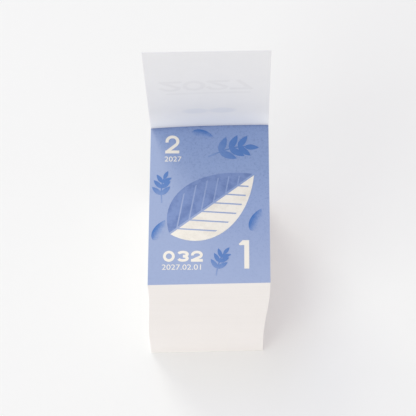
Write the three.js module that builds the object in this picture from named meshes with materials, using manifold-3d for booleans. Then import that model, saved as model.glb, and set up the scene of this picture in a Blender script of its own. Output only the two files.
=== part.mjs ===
import * as THREE from "three";
import { mergeVertices } from "three/addons/utils/BufferGeometryUtils.js";
import Module from "manifold-3d";

const wasm = await Module();
wasm.setup();

// Sheets of the pad, in millimetres
const sheetWidth = 28;
const sheetLength = 42.4;
const sheetThickness = 0.128;
const sheetsBelow = 333;
const cardThickness = 0.6;
const glueThickness = 0.3;

// Sideways lean of the stack
const stackShift = 1.2;
const leanStart = 9.35;
const leanEnd = 4;

// Unevenness of the cut edges
const sheetsPerLayer = 9;
const layerBlend = 0.06;
const edgeScatter = 0.05;
const edgeSeed = 7;
const frontSkew = 0.26;

// Lifted sheet
const creaseInset = 1.48;
const creaseDrop = 0.86;
const creaseCurve = 2.5;
const creaseRadius = 0.45;
const panelLength = 40.65;
const leanAtCrease = 5.4;
const leanAtTop = 5;
const leanTwist = 0.32;
const sheetColumns = 14;
const creaseSteps = 7;
const panelSteps = 18;

// Print, set in from the edges of the sheet
const inkThickness = 0.04;
const leftMargin = 3.4;
const monthLine = 0.75;
const monthWidth = 3.32;
const monthHeight = 4.78;
const monthTopMargin = 4.08;
const monthIndent = 0.12;
const dayLine = 1.13;
const dayWidth = 2.37;
const dayHeight = 7.14;
const dayRightMargin = 4.8;
const dayBottomMargin = 3.76;
const countLine = 0.66;
const countWidth = 2.72;
const countHeight = 2.77;
const countSpace = 0.5;
const countBottomMargin = 5.51;

// Leaf picture, placed from the middle of the sheet by shares of its width and length
const leafLength = 25;
const leafHalfWidth = 7.4;
const leafTurn = 38;
const leafAcross = -0.329;
const leafAlong = -0.203;
const ribWidth = 0.5;
const veinCount = 6;
const veinWidth = 0.34;
const veinTurn = 42;
const marginWidth = 1.1;

// Small leaves and sprigs around it, placed in the same way
const smallLeafLength = 5.8;
const smallLeafSlimness = 0.216;
const smallLeaves = [
  { name: "small_leaf_1", size: 1.07, turn: 66, across: 0.343, along: -0.186 },
  { name: "small_leaf_2", size: 0.9, turn: -14, across: -0.15, along: 0.427 },
  { name: "small_leaf_3", size: 1, turn: 62, across: -0.464, along: -0.241 },
];
const sprigLength = 13;
const stemWidth = 0.3;
const stemBow = 0.045;
const leafletPairs = 3;
const leafletShare = 0.29;
const leafletSlimness = 0.2;
const leafletTurn = 46;
const sprigs = [
  { name: "sprig_1", size: 1, turn: 17, across: -0.014, along: 0.267 },
  { name: "sprig_2", size: 0.68, turn: 86, across: -0.396, along: -0.014 },
  { name: "sprig_3", size: 0.63, turn: 72, across: 0.057, along: -0.453 },
];

const cardTop = cardThickness;
const blockTop = cardTop + sheetsBelow * sheetThickness;
const padTop = blockTop + sheetThickness;
const gluedEdge = sheetLength / 2;
const printLeft = leftMargin - sheetWidth / 2;

const paper = new THREE.MeshStandardMaterial({ color: 0xf1eeea, roughness: 0.85, metalness: 0 });
const card = new THREE.MeshStandardMaterial({ color: 0xe6e3de, roughness: 0.9, metalness: 0 });
const glue = new THREE.MeshStandardMaterial({ color: 0xf4f3ef, roughness: 0.35, metalness: 0 });
const lifted = new THREE.MeshStandardMaterial({ color: 0xeff0f3, roughness: 0.75, metalness: 0 });
const blueField = new THREE.MeshStandardMaterial({ color: 0x9fb0d5, roughness: 0.5, metalness: 0 });
const creamInk = new THREE.MeshStandardMaterial({ color: 0xf1ece3, roughness: 0.5, metalness: 0 });
const deepInk = new THREE.MeshStandardMaterial({ color: 0x7690bf, roughness: 0.5, metalness: 0 });
const waveInk = new THREE.MeshStandardMaterial({ color: 0x7496cb, roughness: 0.5, metalness: 0 });

// Sideways shift of a sheet at a height above the table
function shiftAt(height) {
  return stackShift * THREE.MathUtils.smoothstep(height, leanStart, padTop - leanEnd);
}

// Repeatable spread between -1 and 1
function spread(index) {
  const wave = Math.sin((index + edgeSeed) * 127.1) * 43758.5453;
  return 2 * (wave - Math.floor(wave)) - 1;
}

function closedGeometry(points, faces) {
  const geometry = new THREE.BufferGeometry();
  geometry.setAttribute("position", new THREE.Float32BufferAttribute(points, 3));
  geometry.setIndex(faces);
  return geometry;
}

// Four-cornered rings stacked into one solid; a skewed front is out of square with its sides
function stackedGeometry(rings) {
  const points = [];
  rings.forEach(({ left, right, front, back, height, skew }) => {
    points.push(left, front - skew, height, right, front + skew, height);
    points.push(right, back, height, left, back, height);
  });
  const faces = [2, 1, 0, 3, 2, 0];
  for (let ring = 0; ring < rings.length - 1; ring++) {
    for (let corner = 0; corner < 4; corner++) {
      const low = ring * 4 + corner;
      const next = ring * 4 + ((corner + 1) % 4);
      faces.push(low, next, next + 4, low, next + 4, low + 4);
    }
  }
  const top = (rings.length - 1) * 4;
  faces.push(top, top + 1, top + 2, top, top + 2, top + 3);
  return closedGeometry(points, faces);
}

// Flat sheet or card, cut with the pad
function sheetGeometry(thickness) {
  const cut = {
    left: -sheetWidth / 2,
    right: sheetWidth / 2,
    front: -sheetLength / 2,
    back: gluedEdge,
    skew: frontSkew,
  };
  return stackedGeometry([0, thickness].map((height) => ({ ...cut, height })));
}

// Layers of sheets, each a little out of line with the next
function blockRings() {
  const layers = Math.max(1, Math.round(sheetsBelow / sheetsPerLayer));
  const layerHeight = (blockTop - cardTop) / layers;
  const rings = [];
  for (let layer = 0; layer < layers; layer++) {
    const low = layer === 0 ? cardTop : cardTop + layer * layerHeight + layerBlend / 2;
    const high = layer === layers - 1 ? blockTop : cardTop + (layer + 1) * layerHeight - layerBlend / 2;
    const left = -sheetWidth / 2 + edgeScatter * (1 + spread(3 * layer)) / 2;
    const right = sheetWidth / 2 - edgeScatter * (1 + spread(3 * layer + 1)) / 2;
    const front = -sheetLength / 2 + edgeScatter * (1 + spread(3 * layer + 2)) / 2;
    [low, high].forEach((height) => {
      const shift = shiftAt(height);
      const cut = { front, back: gluedEdge, skew: frontSkew };
      rings.push({ left: left + shift, right: right + shift, height, ...cut });
    });
  }
  return rings;
}

// Glue film on the trimmed edge, leaning with the stack
function glueRings() {
  const steps = Math.max(1, Math.round(sheetsBelow / sheetsPerLayer));
  const top = padTop + sheetThickness;
  return Array.from({ length: steps + 1 }, (_, step) => {
    const height = (top * step) / steps;
    const shift = shiftAt(height);
    return {
      left: shift - sheetWidth / 2,
      right: shift + sheetWidth / 2,
      front: gluedEdge,
      back: gluedEdge + glueThickness,
      height,
      skew: 0,
    };
  });
}

// Middle line of the lifted sheet, from the glued edge to its free edge; its crease is curved and
// its free edge straight
function liftedLine(column) {
  const across = (2 * column) / sheetColumns - 1;
  const fromRight = (1 - across) / 2;
  const drop = creaseDrop * fromRight ** creaseCurve;
  const straightening = creaseDrop * fromRight - drop;
  const bendRadius = creaseRadius + sheetThickness / 2;
  const twist = leanTwist * across;
  const upright = THREE.MathUtils.degToRad(90 - leanAtCrease - twist);
  const footEnd = gluedEdge - creaseInset - drop + bendRadius;
  const low = padTop + sheetThickness / 2;
  const line = [{ y: gluedEdge, z: low, turn: 0 }];
  for (let step = 0; step <= creaseSteps; step++) {
    const turn = (upright * step) / creaseSteps;
    const y = footEnd - bendRadius * Math.sin(turn);
    line.push({ y, z: low + bendRadius * (1 - Math.cos(turn)), turn });
  }
  const stepLength = panelLength / panelSteps;
  for (let step = 1; step <= panelSteps; step++) {
    const before = line[line.length - 1];
    const leanHere = THREE.MathUtils.lerp(leanAtCrease, leanAtTop, (step - 0.5) / panelSteps);
    const turn = THREE.MathUtils.degToRad(90 - leanHere - twist);
    const y = before.y - stepLength * Math.cos(turn) - straightening / panelSteps;
    line.push({ y, z: before.z + stepLength * Math.sin(turn), turn });
  }
  return line;
}

function liftedGeometry() {
  const lines = Array.from({ length: sheetColumns + 1 }, (_, column) => liftedLine(column));
  const rows = lines[0].length;
  const points = [];
  [-1, 1].forEach((side) => {
    lines.forEach((line, column) => {
      const x = stackShift - sheetWidth / 2 + (sheetWidth * column) / sheetColumns;
      line.forEach(({ y, z, turn }) => {
        const offset = (side * sheetThickness) / 2;
        points.push(x, y + offset * Math.sin(turn), z + offset * Math.cos(turn));
      });
    });
  });
  const at = (side, column, row) => (side * (sheetColumns + 1) + column) * rows + row;
  const faces = [];
  const quad = (a, b, c, d) => faces.push(a, b, c, a, c, d);
  const last = rows - 1;
  for (let column = 0; column < sheetColumns; column++) {
    const next = column + 1;
    for (let row = 0; row < last; row++) {
      quad(at(0, column, row), at(0, next, row), at(0, next, row + 1), at(0, column, row + 1));
      quad(at(1, column, row), at(1, column, row + 1), at(1, next, row + 1), at(1, next, row));
    }
    quad(at(0, column, 0), at(1, column, 0), at(1, next, 0), at(0, next, 0));
    quad(at(0, column, last), at(0, next, last), at(1, next, last), at(1, column, last));
  }
  for (let row = 0; row < last; row++) {
    const edge = sheetColumns;
    quad(at(0, 0, row), at(0, 0, row + 1), at(1, 0, row + 1), at(1, 0, row));
    quad(at(0, edge, row), at(1, edge, row), at(1, edge, row + 1), at(0, edge, row + 1));
  }
  return closedGeometry(points, faces);
}

// Flat print of a shape, one ink film thick
function printed(shape) {
  return new THREE.ExtrudeGeometry(shape, { depth: inkThickness, bevelEnabled: false });
}

function solidOf(geometry) {
  const bare = geometry.clone();
  bare.deleteAttribute("normal");
  bare.deleteAttribute("uv");
  const merged = mergeVertices(bare, 1e-4);
  return new wasm.Manifold(
    new wasm.Mesh({
      numProp: 3,
      vertProperties: new Float32Array(merged.attributes.position.array),
      triVerts: new Uint32Array(merged.index.array),
    }),
  );
}

function geometryOf(solid) {
  const { vertProperties, triVerts } = solid.getMesh();
  return closedGeometry(Array.from(vertProperties), Array.from(triVerts));
}

function joined(geometries) {
  return geometries.map(solidOf).reduce((whole, piece) => whole.add(piece));
}

// Pen stroke along a row of points, as a closed outline
function stroke(points, width) {
  const left = [];
  const right = [];
  points.forEach((point, i) => {
    const before = points[Math.max(i - 1, 0)];
    const after = points[Math.min(i + 1, points.length - 1)];
    const along = after.clone().sub(before).normalize();
    const across = new THREE.Vector2(-along.y, along.x).multiplyScalar(width / 2);
    left.push(point.clone().add(across));
    right.unshift(point.clone().sub(across));
  });
  return new THREE.Shape([...left, ...right]);
}

// Points on an oval, between two angles in degrees
function arc(x, y, radiusX, radiusY, from, to, steps = 14) {
  return Array.from({ length: steps + 1 }, (_, step) => {
    const angle = THREE.MathUtils.degToRad(THREE.MathUtils.lerp(from, to, step / steps));
    return new THREE.Vector2(x + radiusX * Math.cos(angle), y + radiusY * Math.sin(angle));
  });
}

function bar(left, bottom, right, top) {
  return new THREE.Shape([
    new THREE.Vector2(left, bottom),
    new THREE.Vector2(right, bottom),
    new THREE.Vector2(right, top),
    new THREE.Vector2(left, top),
  ]);
}

function digitTwo(width, height, line) {
  const radiusX = (width - line) / 2;
  const radiusY = 0.26 * height;
  const bowl = arc(width / 2, height - line / 2 - radiusY, radiusX, radiusY, 192, -45);
  const tail = new THREE.Vector2(line / 2, line / 2);
  const strokes = [stroke([...bowl, tail], line), bar(0, 0, width, line)];
  const cell = solidOf(printed(bar(0, 0, width, height)));
  return geometryOf(joined(strokes.map(printed)).intersect(cell));
}

function digitOne(width, height, line) {
  return printed(
    new THREE.Shape([
      new THREE.Vector2(width - line, 0),
      new THREE.Vector2(width, 0),
      new THREE.Vector2(width, height),
      new THREE.Vector2(width * 0.38, height),
      new THREE.Vector2(0, height * 0.87),
      new THREE.Vector2(width * 0.08, height * 0.82),
      new THREE.Vector2(width - line, height * 0.83),
    ]),
  );
}

function digitZero(width, height, line) {
  const ring = new THREE.Shape(arc(width / 2, height / 2, width / 2, height / 2, 0, 345, 23));
  const inner = arc(width / 2, height / 2, width / 2 - line, height / 2 - line, 0, 345, 23);
  ring.holes.push(new THREE.Path(inner));
  return printed(ring);
}

function digitThree(width, height, line) {
  const radiusX = (width - line) / 2;
  const radiusY = (height - line) / 4;
  const upper = arc(width / 2, height - line / 2 - radiusY, radiusX, radiusY, 165, -90);
  const lower = arc(width / 2, line / 2 + radiusY, radiusX, radiusY, 90, -165);
  return geometryOf(joined([upper, lower].map((points) => printed(stroke(points, line)))));
}

// Edge of a leaf, from its stalk to its tip
function leafEdge(length, halfWidth, side, steps = 22) {
  const edge = new THREE.CubicBezierCurve(
    new THREE.Vector2(0, 0),
    new THREE.Vector2(length * 0.14, side * halfWidth * 1.3),
    new THREE.Vector2(length * 0.62, side * halfWidth * 1.36),
    new THREE.Vector2(length, 0),
  );
  return edge.getPoints(steps);
}

// One half of the large leaf, with its side veins left open
function leafHalf(side) {
  const half = solidOf(printed(new THREE.Shape(leafEdge(leafLength, leafHalfWidth, side))));
  const margin = leafEdge(leafLength - 2 * marginWidth, leafHalfWidth - marginWidth, side);
  const inside = solidOf(printed(new THREE.Shape(margin)).translate(marginWidth, 0, 0));
  const veins = Array.from({ length: veinCount }, (_, vein) => {
    const slot = bar(0, -veinWidth / 2, 2 * leafHalfWidth, veinWidth / 2);
    return printed(slot)
      .rotateZ(THREE.MathUtils.degToRad(side * veinTurn))
      .translate((leafLength * (vein + 0.6)) / (veinCount + 1), 0, 0);
  });
  const rib = printed(bar(-ribWidth, -ribWidth / 2, leafLength + ribWidth, ribWidth / 2));
  return geometryOf(half.subtract(joined(veins).intersect(inside)).subtract(solidOf(rib)));
}

function wholeLeaf(length, slimness, steps) {
  const upper = leafEdge(length, length * slimness, 1, steps);
  const lower = leafEdge(length, length * slimness, -1, steps).reverse();
  return printed(new THREE.Shape([...upper, ...lower.slice(1, -1)]));
}

// Stem with pairs of leaflets and one more at its tip
function sprig(length) {
  const leaflet = length * leafletShare;
  const stem = new THREE.QuadraticBezierCurve(
    new THREE.Vector2(0, 0),
    new THREE.Vector2(length / 2, length * stemBow * 2),
    new THREE.Vector2(length - leaflet, 0),
  );
  const blade = (share, turn) => {
    const point = stem.getPoint(share);
    const along = stem.getTangent(share).angle();
    const size = leaflet * (1.25 - 0.35 * share);
    const geometry = wholeLeaf(size, leafletSlimness, 8);
    geometry.rotateZ(along + THREE.MathUtils.degToRad(turn));
    return geometry.translate(point.x, point.y, 0);
  };
  const pieces = [printed(stroke(stem.getPoints(10), stemWidth)), blade(0.97, 0)];
  for (let pair = 1; pair <= leafletPairs; pair++) {
    const share = pair / (leafletPairs + 1);
    pieces.push(blade(share, leafletTurn), blade(share, -leafletTurn));
  }
  return geometryOf(joined(pieces));
}

function placed(name, geometry, material, x = 0, y = 0, z = 0) {
  const mesh = new THREE.Mesh(geometry, material);
  mesh.name = name;
  mesh.position.set(x, y, z);
  return mesh;
}

const pad = new THREE.Group();

pad.add(placed("backing_card", sheetGeometry(cardThickness), card));
pad.add(placed("page_block", stackedGeometry(blockRings()), paper));
pad.add(placed("glue_film", stackedGeometry(glueRings()), glue));

pad.add(placed("day_sheet", sheetGeometry(sheetThickness), blueField, stackShift, 0, blockTop));
pad.add(placed("lifted_sheet", liftedGeometry(), lifted));

const print = new THREE.Group();
print.position.set(stackShift, 0, padTop);
pad.add(print);

const month = digitTwo(monthWidth, monthHeight, monthLine);
const monthY = sheetLength / 2 - monthTopMargin - monthHeight;
print.add(placed("month_2", month, creamInk, printLeft + monthIndent, monthY));
const day = digitOne(dayWidth, dayHeight, dayLine);
const dayX = sheetWidth / 2 - dayRightMargin - dayWidth;
print.add(placed("day_1", day, creamInk, dayX, dayBottomMargin - sheetLength / 2));

const countDigits = [digitZero, digitThree, digitTwo];
countDigits.forEach((digit, i) => {
  const geometry = digit(countWidth, countHeight, countLine);
  const x = printLeft + i * (countWidth + countSpace);
  print.add(placed(`count_digit_${i + 1}`, geometry, creamInk, x, countBottomMargin - sheetLength / 2));
});

const leaf = new THREE.Group();
leaf.position.set(leafAcross * sheetWidth, leafAlong * sheetLength, 0);
leaf.rotation.z = THREE.MathUtils.degToRad(leafTurn);
leaf.add(placed("leaf_half_light", leafHalf(-1), creamInk));
leaf.add(placed("leaf_half_dark", leafHalf(1), deepInk));
print.add(leaf);

const scattered = [
  ...smallLeaves.map((leaf) => ({
    ...leaf,
    geometry: wholeLeaf(leaf.size * smallLeafLength, smallLeafSlimness, 18),
  })),
  ...sprigs.map((twig) => ({ ...twig, geometry: sprig(twig.size * sprigLength) })),
];
scattered.forEach(({ name, geometry, turn, across, along }) => {
  const mesh = placed(name, geometry, waveInk, across * sheetWidth, along * sheetLength);
  mesh.rotation.z = THREE.MathUtils.degToRad(turn);
  print.add(mesh);
});

export default pad;
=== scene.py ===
import math
import random

import bpy
from mathutils import Matrix, Vector


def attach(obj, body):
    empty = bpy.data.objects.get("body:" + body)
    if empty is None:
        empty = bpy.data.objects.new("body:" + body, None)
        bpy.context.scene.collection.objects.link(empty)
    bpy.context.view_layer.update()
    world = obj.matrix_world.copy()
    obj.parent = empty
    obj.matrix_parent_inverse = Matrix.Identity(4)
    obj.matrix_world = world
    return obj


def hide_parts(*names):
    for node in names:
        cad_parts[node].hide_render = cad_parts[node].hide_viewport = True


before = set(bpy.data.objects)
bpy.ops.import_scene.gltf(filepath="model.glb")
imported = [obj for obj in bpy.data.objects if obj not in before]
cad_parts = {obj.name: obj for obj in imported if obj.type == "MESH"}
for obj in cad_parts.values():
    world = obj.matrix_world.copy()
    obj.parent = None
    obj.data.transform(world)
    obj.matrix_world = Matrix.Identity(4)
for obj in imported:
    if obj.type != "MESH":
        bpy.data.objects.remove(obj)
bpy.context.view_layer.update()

mm = 0.001


def tone(red, green, blue):  # a colour as a screen shows it, 0 to 255
    levels = [((level / 255 + 0.055) / 1.055) ** 2.4 for level in (red, green, blue)]
    return (*levels, 1.0)


def smooth(value, low, high):
    share = min(max((value - low) / (high - low), 0), 1)
    return share * share * (3 - 2 * share)


# Shader sums written as plain expressions

class Wire:
    def __init__(self, paint, socket):
        self.paint = paint
        self.socket = socket

    def combine(self, kind, first, second):
        return self.paint.node("ShaderNodeMath", {"operation": kind}, {0: first, 1: second})

    def __add__(self, other):
        return self.combine("ADD", self, other)

    def __radd__(self, other):
        return self.combine("ADD", other, self)

    def __sub__(self, other):
        return self.combine("SUBTRACT", self, other)

    def __rsub__(self, other):
        return self.combine("SUBTRACT", other, self)

    def __mul__(self, other):
        return self.combine("MULTIPLY", self, other)

    def __rmul__(self, other):
        return self.combine("MULTIPLY", other, self)

    def __truediv__(self, other):
        return self.combine("DIVIDE", self, other)

    def __pow__(self, other):
        return self.combine("POWER", self, other)

    def atLeast(self, other):
        return self.combine("MAXIMUM", self, other)

    def atMost(self, other):
        return self.combine("MINIMUM", self, other)


class Paint:
    def __init__(self, name, roughness, specular):
        self.material = bpy.data.materials.new(name)
        self.material.use_nodes = True
        self.tree = self.material.node_tree
        self.shader = self.tree.nodes["Principled BSDF"]
        self.shader.inputs["Roughness"].default_value = roughness
        self.shader.inputs["Specular IOR Level"].default_value = specular

    def node(self, kind, settings, sockets, output=0):
        made = self.tree.nodes.new(kind)
        for key, value in settings.items():
            setattr(made, key, value)
        for key, value in sockets.items():
            if isinstance(value, Wire):
                self.tree.links.new(value.socket, made.inputs[key])
            else:
                made.inputs[key].default_value = value
        return Wire(self, made.outputs[output])

    def place(self, scale=(1, 1, 1), centre=(0, 0, 0), turn=0.0):  # millimetres on the piece
        metres = self.node("ShaderNodeTexCoord", {}, {}, "Object")
        enlarged = {0: metres, "Scale": 1 / mm}
        spot = self.node("ShaderNodeVectorMath", {"operation": "SCALE"}, enlarged)
        if centre == (0, 0, 0) and turn == 0 and scale == (1, 1, 1):
            return spot
        sockets = {"Vector": spot, "Location": centre, "Rotation": (0, 0, turn), "Scale": scale}
        return self.node("ShaderNodeMapping", {"vector_type": "TEXTURE"}, sockets)

    def along(self, place, axis):
        return self.node("ShaderNodeSeparateXYZ", {}, {"Vector": place}, axis)

    def noise(self, place, scale, detail=3.0, roughness=0.55):
        sockets = {"Vector": place, "Scale": scale, "Detail": detail, "Roughness": roughness}
        return self.node("ShaderNodeTexNoise", {}, sockets, "Fac")

    def step(self, value, low, high, floor=0.0, ceiling=1.0):
        sockets = {"Value": value, "From Min": low, "From Max": high}
        sockets.update({"To Min": floor, "To Max": ceiling})
        return self.node("ShaderNodeMapRange", {"interpolation_type": "SMOOTHSTEP"}, sockets)

    def blend(self, share, first, second):
        sockets = {"Factor": share, 6: first, 7: second}
        return self.node("ShaderNodeMix", {"data_type": "RGBA", "clamp_factor": True}, sockets, 2)

    def stroke(self, x, y, start, end, reach):  # 1 along a line, fading to 0 at the reach
        run, rise = end[0] - start[0], end[1] - start[1]
        share = ((x - start[0]) * run + (y - start[1]) * rise) / (run * run + rise * rise)
        share = share.atLeast(0).atMost(1)
        away = (x - start[0] - share * run) ** 2 + (y - start[1] - share * rise) ** 2
        return self.step(away, 0, reach * reach, 1, 0)

    def feed(self, socket, wire):
        self.tree.links.new(wire.socket, self.shader.inputs[socket])

    def bump(self, height, distance):
        sockets = {"Height": height, "Distance": distance, "Strength": 1.0}
        self.feed("Normal", self.node("ShaderNodeBump", {}, sockets))


# Sizes of the pad, as its solids have them

pad = {
    "width": 28.0,
    "length": 42.4,
    "sheet": 0.128,
    "count": 333,
    "card": 0.6,
    "glue": 0.3,
    "shift": 1.2,
    "leanStart": 9.35,
    "leanEnd": 4.0,
    "frontSkew": 0.26,
}
pad["blockTop"] = pad["card"] + pad["count"] * pad["sheet"]
pad["top"] = pad["blockTop"] + pad["sheet"]


def shiftAt(height):
    return pad["shift"] * smooth(height, pad["leanStart"], pad["top"] - pad["leanEnd"])


def clearSelection():
    if bpy.context.mode != "OBJECT":
        bpy.ops.object.mode_set(mode="OBJECT")
    bpy.ops.object.select_all(action="DESELECT")


def activate(piece):
    clearSelection()
    piece.select_set(True)
    bpy.context.view_layer.objects.active = piece


def settle(piece):  # the place goes into the mesh
    activate(piece)
    bpy.ops.object.transform_apply(location=True, rotation=True, scale=True)
    return piece


def addBlock(name, low, high):  # corners in millimetres
    clearSelection()
    middle = [(a + b) / 2 * mm for a, b in zip(low, high)]
    size = [(b - a) * mm for a, b in zip(low, high)]
    bpy.ops.mesh.primitive_cube_add(size=1, location=middle)
    piece = bpy.context.object
    piece.name = name
    piece.scale = size
    return settle(piece)


def skewFront(piece, middle=0.0):  # the front cut is a little out of square, about a middle in x
    for vertex in piece.data.vertices:
        if vertex.co.y < 0:
            vertex.co.y += pad["frontSkew"] * (vertex.co.x - middle * mm) / (pad["width"] / 2)


def roundEdges(piece, width, segments):
    activate(piece)
    bevel = piece.modifiers.new("rounding", "BEVEL")
    bevel.width = width * mm
    bevel.segments = segments
    bevel.limit_method = "ANGLE"
    bpy.ops.object.modifier_apply(modifier=bevel.name)


def recalculate(piece):
    activate(piece)
    bpy.ops.object.mode_set(mode="EDIT")
    bpy.ops.mesh.select_all(action="SELECT")
    bpy.ops.mesh.normals_make_consistent(inside=False)
    bpy.ops.object.mode_set(mode="OBJECT")


def wear(piece, paint):
    piece.data.materials.clear()
    piece.data.materials.append(paint.material)


def soften(piece, degrees):
    activate(piece)
    bpy.ops.object.shade_smooth_by_angle(angle=math.radians(degrees))


# Thin card under the last sheet

card = {"edgeRound": 0.03, "tint": (254, 251, 248), "shade": (248, 245, 241), "fibre": 0.00002}


def paintCard():
    paint = Paint("cardPulp", roughness=0.9, specular=0.25)
    pulp = paint.noise(paint.place(), scale=6.0, detail=5.0, roughness=0.75)
    plies = paint.noise(paint.place(scale=(30, 30, 0.12)), scale=1.0, detail=2.0)
    share = paint.step(pulp * 0.6 + plies * 0.5, 0.35, 0.8)
    paint.feed("Base Color", paint.blend(share, tone(*card["tint"]), tone(*card["shade"])))
    paint.bump(pulp, card["fibre"])
    return paint


def makeCard():
    half, deep = pad["width"] / 2, pad["length"] / 2
    board = addBlock("cardBack", (-half, -deep, 0), (half, deep, pad["card"]))
    skewFront(board)
    roundEdges(board, card["edgeRound"], 2)
    soften(board, degrees=40)
    wear(board, paintCard())
    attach(board, "root")
    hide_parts("backing_card")


# Sheets under the printed day, each cut a little apart from the next and each a little
# lighter or darker

stack = {
    "edgeRound": 0.015,
    "rise": 0.985,  # share of a sheet's thickness; the rest is air
    "scatter": 0.014,
    "bundle": 9,
    "bundleScatter": 0.006,
    "seed": 41,
    "tint": (247, 243, 241),
    "shade": (242, 238, 235),
    "low": (253, 249, 247),  # painted light towards the pad's foot, lifting the shade that falls lower down
    "paintedFootLightShare": 0.5,
    "paintedFootLightReach": 0.6,  # share of the pad's height
    "fibre": 0.000006,
}


def paintStack():
    paint = Paint("pageEdges", roughness=0.92, specular=0.25)
    layers = paint.noise(paint.place(scale=(40, 60, 0.16)), scale=1.0, detail=2.0, roughness=0.6)
    bundles = paint.noise(paint.place(scale=(60, 90, 2.2)), scale=1.0, detail=1.0)
    fibres = paint.noise(paint.place(), scale=9.0, detail=4.0, roughness=0.7)
    clouds = paint.noise(paint.place(), scale=0.12, detail=2.0)
    share = 0.55 * layers + 0.05 * bundles + 0.2 * fibres + 0.25 * clouds
    share = paint.step(share, 0.3, 0.85)
    colour = paint.blend(share, tone(*stack["tint"]), tone(*stack["shade"]))
    height = paint.along(paint.place(), "Z")
    # painted light: the sheet edges are lighter towards the pad's foot, to lift the shade there
    low = paint.step(height, 0, stack["paintedFootLightReach"] * pad["top"], stack["paintedFootLightShare"], 0)
    paint.feed("Base Color", paint.blend(low, colour, tone(*stack["low"])))
    paint.bump(fibres * 0.7 + layers * 0.3, stack["fibre"])
    return paint


def makeStack():
    chance = random.Random(stack["seed"])
    half, deep = pad["width"] / 2, pad["length"] / 2
    gap = pad["sheet"] * (1 - stack["rise"]) / 2
    first = addBlock("pageStack", (-half, -deep, 0), (half, deep, pad["sheet"] - 2 * gap))
    skewFront(first)
    roundEdges(first, stack["edgeRound"], 1)
    sheets = [first]
    for more in range(pad["count"] - 1):
        copy = first.copy()
        copy.data = first.data.copy()
        bpy.context.collection.objects.link(copy)
        sheets.append(copy)
    for index, sheet in enumerate(sheets):
        if index % stack["bundle"] == 0:
            bundle = [chance.uniform(0, stack["bundleScatter"]) for side in range(3)]
        left, right, front = [share + chance.uniform(0, stack["scatter"]) for share in bundle]
        low = pad["card"] + index * pad["sheet"] + gap
        narrow = 1 - (left + right) / pad["width"]
        short = 1 - front / pad["length"]
        sheet.scale = (narrow, short, 1)
        sheet.location = ((shiftAt(low) + (left - right) / 2) * mm, front / 2 * mm, low * mm)
    clearSelection()
    for sheet in sheets:
        sheet.select_set(True)
    bpy.context.view_layer.objects.active = first
    bpy.ops.object.join()
    settle(first)
    wear(first, paintStack())
    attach(first, "root")
    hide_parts("page_block")


# Glue brushed on the trimmed edge, thicker and thinner along its strokes

glueCoat = {
    "cuts": 30,
    "thin": 0.16,
    "thinRim": 0.1,
    "mostThin": 0.9,  # share of the glue
    "broad": {"wave": 2.6, "bend": 5, "sway": 0.5},
    "fine": {"wave": 0.7, "bend": 7, "sway": 0.8},
    "fineShare": 0.5,
    "ridged": 0.33,
    "edgeFade": 1.2,
    "tint": (244, 242, 236),
    "shade": (226, 222, 213),
    "satin": 0.34,
    "matt": 0.55,
    "brush": 0.00005,
    "seed": 5,
}


def paintGlue():
    paint = Paint("paddingGlue", roughness=0.42, specular=0.45)
    strokes = paint.noise(paint.place(scale=(9.0, 1.0, 0.5)), scale=1.0, detail=4.0, roughness=0.6)
    layers = paint.noise(paint.place(scale=(40, 60, 0.2)), scale=1.0, detail=2.0)
    share = paint.step(strokes * 0.7 + layers * 0.4, 0.3, 0.8)
    paint.feed("Base Color", paint.blend(share, tone(*glueCoat["tint"]), tone(*glueCoat["shade"])))
    paint.feed("Roughness", paint.step(strokes, 0.3, 0.7, glueCoat["satin"], glueCoat["matt"]))
    paint.bump(strokes * 0.8 + layers * 0.4, glueCoat["brush"])
    return paint


def ridge(stroke, x, z, phase, swayPhase):  # height of wavy brush strokes, -1 to 1
    sway = stroke["sway"] * math.sin(x / stroke["bend"] + swayPhase)
    return math.sin(z / stroke["wave"] + phase + sway)


def makeGlue():
    half, deep = pad["width"] / 2, pad["length"] / 2
    top = pad["top"] + pad["sheet"]
    coat = addBlock("glueCoat", (-half, deep, 0), (half, deep + pad["glue"], top))
    activate(coat)
    bpy.ops.object.mode_set(mode="EDIT")
    bpy.ops.mesh.select_all(action="SELECT")
    bpy.ops.mesh.subdivide(number_cuts=glueCoat["cuts"])
    bpy.ops.object.mode_set(mode="OBJECT")
    chance = random.Random(glueCoat["seed"])
    phases = [chance.uniform(0, 2 * math.pi) for wave in range(4)]
    for vertex in coat.data.vertices:
        x, y, z = [value / mm for value in vertex.co]
        ridges = ridge(glueCoat["broad"], x, z, *phases[:2])
        ridges += glueCoat["fineShare"] * ridge(glueCoat["fine"], x, z, *phases[2:])
        rim = min(x + half, half - x, z, top - z)
        thinning = glueCoat["thin"] * (0.5 - glueCoat["ridged"] * ridges)
        thinning += glueCoat["thinRim"] * (1 - smooth(rim, 0, glueCoat["edgeFade"]))
        depth = (y - deep) / pad["glue"]  # 0 at the pad, 1 at the coat's outer face
        vertex.co.y -= depth * min(max(thinning, 0), pad["glue"] * glueCoat["mostThin"]) * mm
        vertex.co.x += shiftAt(z) * mm
    soften(coat, degrees=50)
    wear(coat, paintGlue())
    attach(coat, "root")
    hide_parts("glue_film")


# Printed day: blue ink on the top face, bare paper at its cut edges

dayPrint = {
    # the field's blue from its light end to its deep end; the change between them is partly print,
    # partly painted shade and sheen
    "light": (163, 178, 213),
    "deep": (144, 166, 211),
    "edge": (243, 240, 237),
    "cream": (248, 242, 231),
    "creamShade": (231, 224, 212),
    "leafDark": (128, 149, 198),
    "leafDarkShade": (102, 125, 178),
    "accent": (72, 120, 190),
    "crease": 19.8,
    "washAndShadeLength": 45.0,
    "washAndShadeCurve": 2.6,
    "clouds": 0.15,
    "speck": (92, 112, 168),
    "specks": 0.55,
    "grain": 0.000006,
    "edgeRound": 0.02,
    "inkDepths": (0.03, 0.02),  # bare paper below the first, ink above the second
    "mottle": 0.25,
    "leafMottle": 0.8,
    "leafDarkMottle": 1.1,
    "sprigDepth": 0.86,
    "sprigFade": (-0.32, 0.62),  # shares of its length
}


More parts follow.
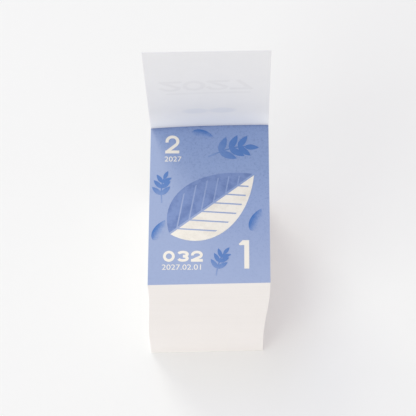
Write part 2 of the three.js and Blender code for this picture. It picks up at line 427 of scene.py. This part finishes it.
def speckle(paint):  # grain of the print, about 0 either way
    fine = paint.noise(paint.place(), scale=4.4, detail=2.0, roughness=0.7)
    coarse = paint.noise(paint.place(), scale=1.9, detail=2.0, roughness=0.7)
    return 0.8 * fine + 1.2 * coarse - 1.0


def fieldColour(paint):  # printed blue with painted shade and sheen: deeper near the crease, where the lifted sheet shades the page, and lighter towards the left edge, where the light falls
    place = paint.place(centre=(pad["shift"], 0, 0))
    fromRight = (0.5 - paint.along(place, "X") / pad["width"]).atLeast(0).atMost(1)
    reach = 1.0 - fromRight ** dayPrint["washAndShadeCurve"]
    down = (dayPrint["crease"] - paint.along(place, "Y")) / dayPrint["washAndShadeLength"]
    grain = speckle(paint)
    clouds = paint.noise(paint.place(), scale=0.3, detail=3.0)
    # painted shade near the crease and painted sheen towards the left and front, over the printed blue
    washAndShade = paint.step(1 - down / reach, 0, 1)
    share = washAndShade + dayPrint["clouds"] * (clouds - 0.5)
    colour = paint.blend(share, tone(*dayPrint["light"]), tone(*dayPrint["deep"]))
    specks = paint.step(grain, -0.1, 0.5) * (0.25 + 0.75 * washAndShade) * dayPrint["specks"]
    return paint.blend(specks, colour, tone(*dayPrint["speck"])), grain


def paintDay():
    paint = Paint("blueWashAndShade", roughness=0.55, specular=0.35)
    colour, grain = fieldColour(paint)
    height = paint.along(paint.place(), "Z")
    printed = paint.step(height, *[pad["top"] - depth for depth in dayPrint["inkDepths"]])
    paint.feed("Base Color", paint.blend(printed, tone(*dayPrint["edge"]), colour))
    paint.bump(grain, dayPrint["grain"])
    return paint


def paintInk(name, colour, shade, mottle):
    paint = Paint(name, roughness=0.55, specular=0.35)
    grain = speckle(paint)
    patches = paint.noise(paint.place(), scale=0.4, detail=3.0, roughness=0.5)
    share = (0.7 * paint.step(patches, 0.4, 0.68) + 0.9 * grain) * mottle
    paint.feed("Base Color", paint.blend(share, tone(*colour), tone(*shade)))
    paint.bump(grain, dayPrint["grain"])
    return paint


def paintAccent(name, leaf):  # deep at its crisp side, fading into the field's blue
    paint = Paint(name, roughness=0.55, specular=0.35)
    colour, grain = fieldColour(paint)
    centre = (leaf["across"] * pad["width"] + pad["shift"], leaf["along"] * pad["length"], 0)
    place = paint.place(centre=centre, turn=math.radians(leaf["turn"]))
    if "width" in leaf:
        depth = paint.step(paint.along(place, "Y") + grain, -leaf["width"], leaf["width"])
    else:
        along = paint.along(place, "X") + 2 * grain
        start, end = [share * leaf["length"] for share in dayPrint["sprigFade"]]
        depth = paint.step(along, start, end, 0, dayPrint["sprigDepth"])
    paint.feed("Base Color", paint.blend(depth, colour, tone(*dayPrint["accent"])))
    paint.bump(grain, dayPrint["grain"])
    return paint


def makeDay():
    half, deep = pad["width"] / 2, pad["length"] / 2
    low = (pad["shift"] - half, -deep, pad["blockTop"])
    high = (pad["shift"] + half, deep, pad["top"])
    day = addBlock("dayPage", low, high)
    skewFront(day, pad["shift"])
    roundEdges(day, dayPrint["edgeRound"], 1)
    wear(day, paintDay())
    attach(day, "root")
    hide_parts("day_sheet")


accents = {  # places as shares of the sheet, as the solids have them
    "small_leaf_1": {"width": 1.34, "turn": 66, "across": 0.343, "along": -0.186},
    "small_leaf_2": {"width": 1.13, "turn": -14, "across": -0.15, "along": 0.427},
    "small_leaf_3": {"width": 1.25, "turn": 62, "across": -0.464, "along": -0.241},
    "sprig_1": {"length": 13, "turn": 17, "across": -0.014, "along": 0.267},
    "sprig_2": {"length": 8.84, "turn": 86, "across": -0.396, "along": -0.014},
    "sprig_3": {"length": 8.19, "turn": 72, "across": 0.057, "along": -0.453},
}


def dressPrint():
    cream = paintInk("creamInk", dayPrint["cream"], dayPrint["creamShade"], dayPrint["mottle"])
    leafCream = paintInk("leafCream", dayPrint["cream"], dayPrint["creamShade"], dayPrint["leafMottle"])
    darkMottle = dayPrint["leafDarkMottle"]
    leafDark = paintInk("leafDark", dayPrint["leafDark"], dayPrint["leafDarkShade"], darkMottle)
    inks = {"leaf_half_light": leafCream, "leaf_half_dark": leafDark}
    for name in ("month_2", "day_1", "count_digit_1", "count_digit_2", "count_digit_3"):
        inks[name] = cream
    for name, leaf in accents.items():
        inks[name] = paintAccent(name + "Ink", leaf)
    for name, paint in inks.items():
        wear(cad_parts[name], paint)
    return cream


# Small lines of numbers: the words and two corners of the box that they fill

smallPrint = {
    "year": ("2027", (-10.6, 10.18), (-6.62, 11.5)),
    "date": ("2027.02.01", (-10.82, -17.68), (-1.86, -16.36)),
    "thick": 0.025,
}


def addText(name, words, low, high, thick):
    clearSelection()
    bpy.ops.object.text_add(location=(0, 0, 0))
    piece = bpy.context.object
    piece.data.body = words
    piece.data.size = 1.0
    piece.data.extrude = 0.5
    piece.data.resolution_u = 6
    bpy.ops.object.convert(target="MESH")
    piece = bpy.context.object
    piece.name = name
    corners = [Vector(corner) for corner in piece.bound_box]
    least = [min(corner[axis] for corner in corners) for axis in range(3)]
    most = [max(corner[axis] for corner in corners) for axis in range(3)]
    for vertex in piece.data.vertices:
        share = [(vertex.co[axis] - least[axis]) / (most[axis] - least[axis]) for axis in range(3)]
        vertex.co.x = (low[0] + share[0] * (high[0] - low[0])) * mm
        vertex.co.y = (low[1] + share[1] * (high[1] - low[1])) * mm
        vertex.co.z = share[2] * thick * mm
    return piece


def makeSmallPrint(ink):
    for key in ("year", "date"):
        words, low, high = smallPrint[key]
        piece = addText(key + "Line", words, low, high, smallPrint["thick"])
        piece.location = (pad["shift"] * mm, 0, pad["top"] * mm)
        settle(piece)
        wear(piece, ink)
        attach(piece, "root")


# Sheet folded up at the glued edge

fold = {
    "inset": 1.48,  # crease from the glued edge, at the right
    "drop": 0.86,  # and this much further at the left
    "curve": 2.5,
    "radius": 0.45,
    "panel": 40.65,
    "leanLow": 5.4,
    "leanHigh": 5.0,
    "twist": 0.32,
    "columns": 28,
    "footRows": 3,
    "bendRows": 12,
    "panelRows": 40,
    "wave": {"height": 0.06, "turns": 3.1, "phase": 0.4},  # turns in radians, from middle to edge
    "sideGap": 0.01,
    "tint": (240, 240, 242),
    "shade": (238, 238, 240),
    "paintedBacklight": (254, 254, 255),  # painted light just above the fold, for light coming through the paper from behind
    "paintedBacklightStart": (0.3, 1.5),
    "paintedBacklightEnd": (0.5, 11),
    "fibre": 0.00003,
}
fold["bend"] = fold["radius"] + pad["sheet"] / 2  # radius at the sheet's middle


def dropAt(across):  # across is -1 at the left edge and 1 at the right
    return fold["drop"] * ((1 - across) / 2) ** fold["curve"]


def footAt(across):  # length of the flat foot on the pad
    return fold["inset"] + dropAt(across) - fold["bend"]


def uprightAt(across):  # angle that the bend turns by
    return math.radians(90 - fold["leanLow"] - fold["twist"] * across)


def foldPoint(across, length, rise=0.0):  # length from the glued edge, rise off the sheet's middle
    foot, bend, upright = footAt(across), fold["bend"], uprightAt(across)
    footEnd = pad["length"] / 2 - foot
    low = pad["top"] + pad["sheet"] / 2
    turn = min(max(length - foot, 0) / bend, upright)
    y = footEnd + max(foot - length, 0) - bend * math.sin(turn)
    z = low + bend * (1 - math.cos(turn))
    run = length - foot - bend * upright
    if run > 0:
        change = math.radians(fold["leanLow"] - fold["leanHigh"]) / fold["panel"]
        lean = math.pi / 2 - upright
        middle = lean - change * run / 2
        y -= math.sin(middle) * run
        z += math.cos(middle) * run
        turn = math.pi / 2 - (lean - change * run)
        wave = fold["wave"]
        ripple = wave["height"] * math.sin(wave["turns"] * across + wave["phase"])
        y += ripple * math.sin(math.pi * run / fold["panel"])
        straightening = fold["drop"] * (1 - across) / 2 - dropAt(across)
        y -= straightening * run / fold["panel"]
    x = pad["shift"] + across * (pad["width"] / 2 - fold["sideGap"])
    return Vector((x, y + rise * math.sin(turn), z + rise * math.cos(turn))) * mm


# Print on the lifted sheet's outer face, which shows faintly through the paper as a painted shadow; a
# run is the distance from the crease

cover = {
    "title": "2027",
    "left": -10.8,
    "pitch": 5.35,
    "digitWidth": 4.6,
    "digitHeight": 4.5,
    "titleRun": 25.4,
    "ruleRun": 19.0,
    "ruleHalf": 9.2,
    "ruleWidth": 0.45,
    "leafRun": 9.0,
    "leafLength": 6.2,
    "leafWidth": 3.0,
    "ink": (74, 84, 110),
    "leafInk": (96, 132, 196),
    "thick": 0.03,
    "ruleCuts": 12,
    "gapBetweenLeaves": 0.6,
    "blur": 0.75,
    "ruleBlur": 0.7,
    "ruleShow": 0.7,
    "show": 0.22,
    "showTone": (214, 213, 217),
    "leafShow": 0.24,
    "leafShowTone": (204, 212, 230),
    "leafFade": (0.3, 1.5),  # square of a share of the leaf's half size
}

coverDigits = {  # strokes of a digit, in a box one wide and one high
    "2": [(0.05, 0.74), (0.2, 0.93), (0.52, 1.0), (0.83, 0.9), (0.9, 0.7), (0.05, 0.04), (0.98, 0.04)],
    "0": [(0.5 - 0.46 * math.sin(turn * math.pi / 5), 0.5 - 0.48 * math.cos(turn * math.pi / 5))
          for turn in range(11)],
    "7": [(0.04, 0.96), (0.96, 0.96), (0.36, 0.02)],
}


def showThrough(paint, x, up):  # title and rule as a blurred painted shadow, 0 to 1
    half = cover["ruleHalf"]
    rule = paint.stroke(x, up, (-half, cover["ruleRun"]), (half, cover["ruleRun"]), cover["ruleBlur"])
    shadow = cover["ruleShow"] * rule
    for index, digit in enumerate(cover["title"]):
        left = cover["left"] + index * cover["pitch"]
        points = []
        for across, high in coverDigits[digit]:
            run = cover["titleRun"] - high * cover["digitHeight"]
            points.append((left + across * cover["digitWidth"], run))
        for start, end in zip(points, points[1:]):
            shadow = shadow.atLeast(paint.stroke(x, up, start, end, cover["blur"]))
    return shadow


def paintLifted():
    paint = Paint("liftedPaper", roughness=0.8, specular=0.25)
    clouds = paint.noise(paint.place(), scale=0.22, detail=3.0, roughness=0.5)
    fibres = paint.noise(paint.place(), scale=8.0, detail=4.0, roughness=0.7)
    x = paint.along(paint.place(), "X") - pad["shift"]
    up = paint.along(paint.place(), "Z") - pad["top"] - fold["radius"]
    share = paint.step(clouds * 0.6 + fibres * 0.4, 0.3, 0.75)
    colour = paint.blend(share, tone(*fold["tint"]), tone(*fold["shade"]))
    # painted light just above the fold, standing in for light through the paper
    paintedBacklight = paint.step(up, *fold["paintedBacklightStart"]) * paint.step(up, *fold["paintedBacklightEnd"], 1, 0)
    colour = paint.blend(paintedBacklight, colour, tone(*fold["paintedBacklight"]))
    # painted shadow of the back print, as light comes through the paper
    shadow = cover["show"] * showThrough(paint, x, up) * (0.7 + 0.6 * clouds)
    colour = paint.blend(shadow, colour, tone(*cover["showTone"]))
    half, rise = cover["leafLength"] / 2, cover["leafWidth"] / 2
    # painted shadow of the back leaf emblem, as light comes through the paper
    for side in (-1, 1):
        away = ((x - side * half) / half) ** 2 + ((up - cover["leafRun"]) / rise) ** 2
        shadow = cover["leafShow"] * paint.step(away, *cover["leafFade"], 1, 0)
        colour = paint.blend(shadow, colour, tone(*cover["leafShowTone"]))
    paint.feed("Base Color", colour)
    paint.bump(fibres * 0.4 + clouds, fold["fibre"])
    return paint


def makeLifted():
    clearSelection()
    rows = fold["footRows"] + fold["bendRows"] + fold["panelRows"]
    bpy.ops.mesh.primitive_grid_add(x_subdivisions=fold["columns"], y_subdivisions=rows, size=2)
    page = bpy.context.object
    page.name = "liftedPage"
    for vertex in page.data.vertices:
        row = (vertex.co.y + 1) / 2 * rows
        foot, arc = footAt(vertex.co.x), fold["bend"] * uprightAt(vertex.co.x)
        if row <= fold["footRows"]:
            length = foot * row / fold["footRows"]
        elif row <= fold["footRows"] + fold["bendRows"]:
            length = foot + arc * (row - fold["footRows"]) / fold["bendRows"]
        else:
            run = fold["panel"] * (row - fold["footRows"] - fold["bendRows"]) / fold["panelRows"]
            length = foot + arc + run
        vertex.co = foldPoint(vertex.co.x, length)
    activate(page)
    wall = page.modifiers.new("paper", "SOLIDIFY")
    wall.thickness = pad["sheet"] * mm
    wall.offset = 0
    bpy.ops.object.modifier_apply(modifier=wall.name)
    recalculate(page)
    soften(page, degrees=35)
    wear(page, paintLifted())
    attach(page, "root")
    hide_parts("lifted_sheet")


def ontoCover(piece, ink, cuts=0):  # from a flat page, whose crease is at y = 0, to the outer face
    activate(piece)
    bpy.ops.object.mode_set(mode="EDIT")
    bpy.ops.mesh.select_all(action="SELECT")
    if cuts:
        bpy.ops.mesh.subdivide(number_cuts=cuts)
    bpy.ops.object.mode_set(mode="OBJECT")
    for vertex in piece.data.vertices:
        x, y, z = [value / mm for value in vertex.co]
        across = 2 * x / pad["width"]
        crease = footAt(across) + fold["bend"] * uprightAt(across)
        vertex.co = foldPoint(across, crease - y, pad["sheet"] / 2 + z)
    wear(piece, ink)
    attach(piece, "root")


def makeCoverPrint():
    thick = cover["thick"]
    ink = paintInk("coverInk", cover["ink"], cover["ink"], 0.0)
    low = (cover["left"], -cover["titleRun"])
    right = cover["left"] + (len(cover["title"]) - 1) * cover["pitch"] + cover["digitWidth"]
    high = (right, cover["digitHeight"] - cover["titleRun"])
    ontoCover(addText("coverTitle", cover["title"], low, high, thick), ink)
    half, edge = cover["ruleHalf"], cover["ruleWidth"] / 2
    low = (-half, -cover["ruleRun"] - edge, 0)
    high = (half, -cover["ruleRun"] + edge, thick)
    ontoCover(addBlock("coverRule", low, high), ink, cover["ruleCuts"])
    leafInk = paintInk("coverLeafInk", cover["leafInk"], cover["leafInk"], 0.0)
    for side, name in ((-1, "coverLeafLeft"), (1, "coverLeafRight")):
        clearSelection()
        bpy.ops.mesh.primitive_cylinder_add(vertices=32, radius=0.5, depth=1, end_fill_type="NGON")
        leaf = bpy.context.object
        leaf.name = name
        for vertex in leaf.data.vertices:  # a circle drawn out to two points
            x, y, z = 2 * vertex.co.x, 2 * vertex.co.y, vertex.co.z + 0.5
            away = cover["gapBetweenLeaves"] / 2 + (x + 1) / 2 * cover["leafLength"]
            breadth = cover["leafWidth"] / 2 * y * max(1 - x * x, 0) ** 0.5
            vertex.co = Vector((side * away, breadth - cover["leafRun"], z * thick)) * mm
        recalculate(leaf)
        ontoCover(leaf, leafInk)


# Plain floor, soft light and the camera

studio = {
    "floor": (247, 247, 246),
    "floorShade": (240, 240, 240),
    "haze": 0.2,
    "floorSize": 6,
    "sky": (1.0, 0.962, 0.978),
    "skyStrength": 0.735,
    "lamps": {  # place, size, power, tint
        "window": ((-0.643, 1.113, 1.532), 0.6, 4.8, (1.0, 1.0, 0.81)),
        "windowTop": ((-0.309, 0.535, 1.902), 0.6, 3.4, (0.62, 0.73, 1.0)),
        "ceiling": ((-0.618, 0.0, 1.902), 0.6, 2.1, (0.61, 0.88, 1.0)),
        "room": ((-1.282, -1.282, 0.845), 1.2, 9.2, (0.95, 1.0, 0.89)),
    },
    "lampAim": (0, 0, 0.02),
}


def makeStudio():
    clearSelection()
    bpy.ops.mesh.primitive_plane_add(size=studio["floorSize"], location=(0, 0, 0))
    floor = bpy.context.object
    floor.name = "floor"
    paint = Paint("floorPaper", roughness=0.9, specular=0.1)
    haze = studio["haze"] * paint.noise(paint.place(), scale=0.02, detail=1.0)
    paint.feed("Base Color", paint.blend(haze, tone(*studio["floor"]), tone(*studio["floorShade"])))
    wear(floor, paint)

    world = bpy.data.worlds.new("softSky")
    bpy.context.scene.world = world
    world.use_nodes = True
    sky = world.node_tree.nodes["Background"]
    sky.inputs["Color"].default_value = (*studio["sky"], 1.0)
    sky.inputs["Strength"].default_value = studio["skyStrength"]

    for name, lamp in studio["lamps"].items():
        addLamp(name, *lamp)


def addLamp(name, place, size, power, colour):
    clearSelection()
    bpy.ops.object.light_add(type="AREA", location=place)
    lamp = bpy.context.object
    lamp.name = name
    lamp.data.size = size
    lamp.data.energy = power
    lamp.data.color = colour
    aim = Vector(studio["lampAim"]) - Vector(place)
    lamp.rotation_euler = aim.to_track_quat("-Z", "Y").to_euler()


shot = {
    "azimuth": 2.313,
    "elevation": 64.269,
    "roll": -2.315,
    "distance": 0.3879,
    "lens": 144.28,
    "sensor": 36,
    "nearest": 0.01,
    "target": (0.00089, -0.00203, 0.04335),
}


def makeCamera():
    azimuth = math.radians(shot["azimuth"])
    elevation = math.radians(shot["elevation"])
    roll = math.radians(shot["roll"])
    level = math.cos(elevation)
    back = Vector((math.sin(azimuth) * level, -math.cos(azimuth) * level, math.sin(elevation)))
    right = (-back).cross(Vector((0, 0, 1))).normalized()
    up = right.cross(-back)
    turnedRight = math.cos(roll) * right + math.sin(roll) * up
    turnedUp = math.cos(roll) * up - math.sin(roll) * right
    rotation = Matrix((turnedRight, turnedUp, back)).transposed()
    clearSelection()
    bpy.ops.object.camera_add(location=Vector(shot["target"]) + back * shot["distance"])
    camera = bpy.context.object
    camera.rotation_euler = rotation.to_euler()
    camera.data.sensor_width = shot["sensor"]
    camera.data.lens = shot["lens"]
    camera.data.clip_start = shot["nearest"]
    bpy.context.scene.camera = camera
    bpy.context.scene.view_settings.view_transform = "Standard"


makeCamera()
makeStudio()
print("camera, floor and lamps are in place")
makeCard()
makeStack()
makeGlue()
print("the pad is stacked and glued")
makeDay()
creamInk = dressPrint()
makeSmallPrint(creamInk)
print("the day is printed")
makeLifted()
makeCoverPrint()
print("the lifted sheet stands")
